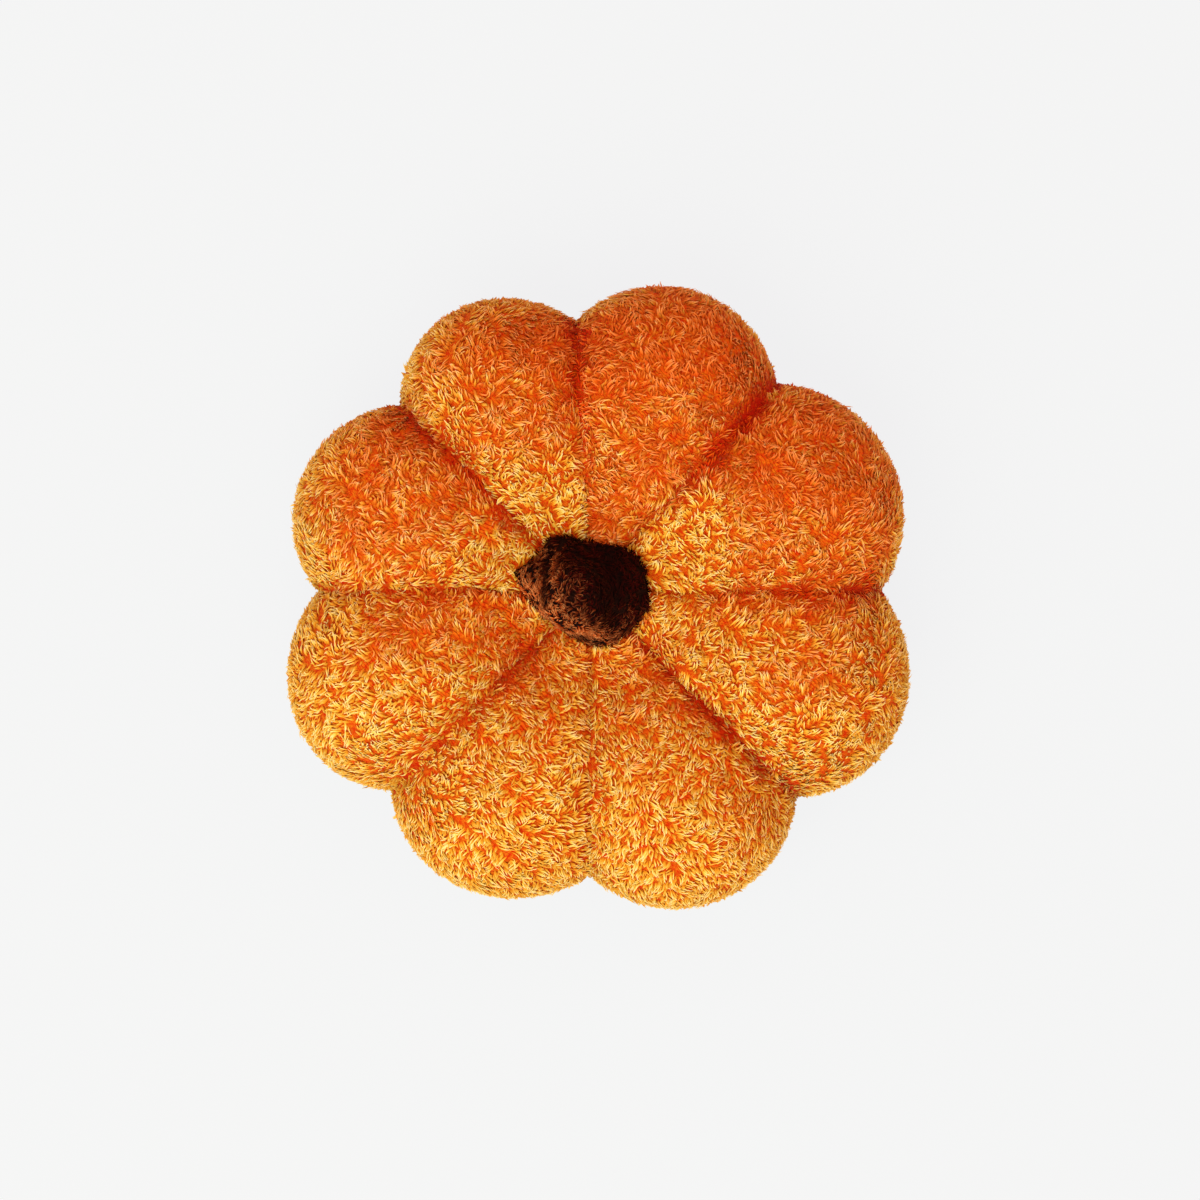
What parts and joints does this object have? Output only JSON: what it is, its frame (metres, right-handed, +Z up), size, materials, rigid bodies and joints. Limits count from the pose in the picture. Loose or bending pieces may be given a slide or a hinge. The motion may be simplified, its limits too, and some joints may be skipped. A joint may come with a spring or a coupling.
{
  "type": "pumpkin cushion",
  "caption": "Round filled plush cushion in the form of a pumpkin, with sewn lobes drawn in to a dimple that holds a short filled stem.",
  "frame": {"origin": "on the surface that the cushion rests on, under the middle of its box", "axes": "+Z up through the cushion's thickness, from the pressed underside to the tip of the stem; +X to the right and +Y to the top of the cushion as it is seen from above"},
  "size_m": [0.3784, 0.38, 0.1623],
  "materials": {
    "orange_plush": "long soft pile, brushed in swirls, pale at the tips and dark red-orange at the roots",
    "brown_plush": "shorter soft pile, dark chocolate with rust-brown tips"
  },
  "bodies": {
    "root": {"cushion_body": "orange_plush", "stem": "brown_plush"}
  },
  "joints": []
}
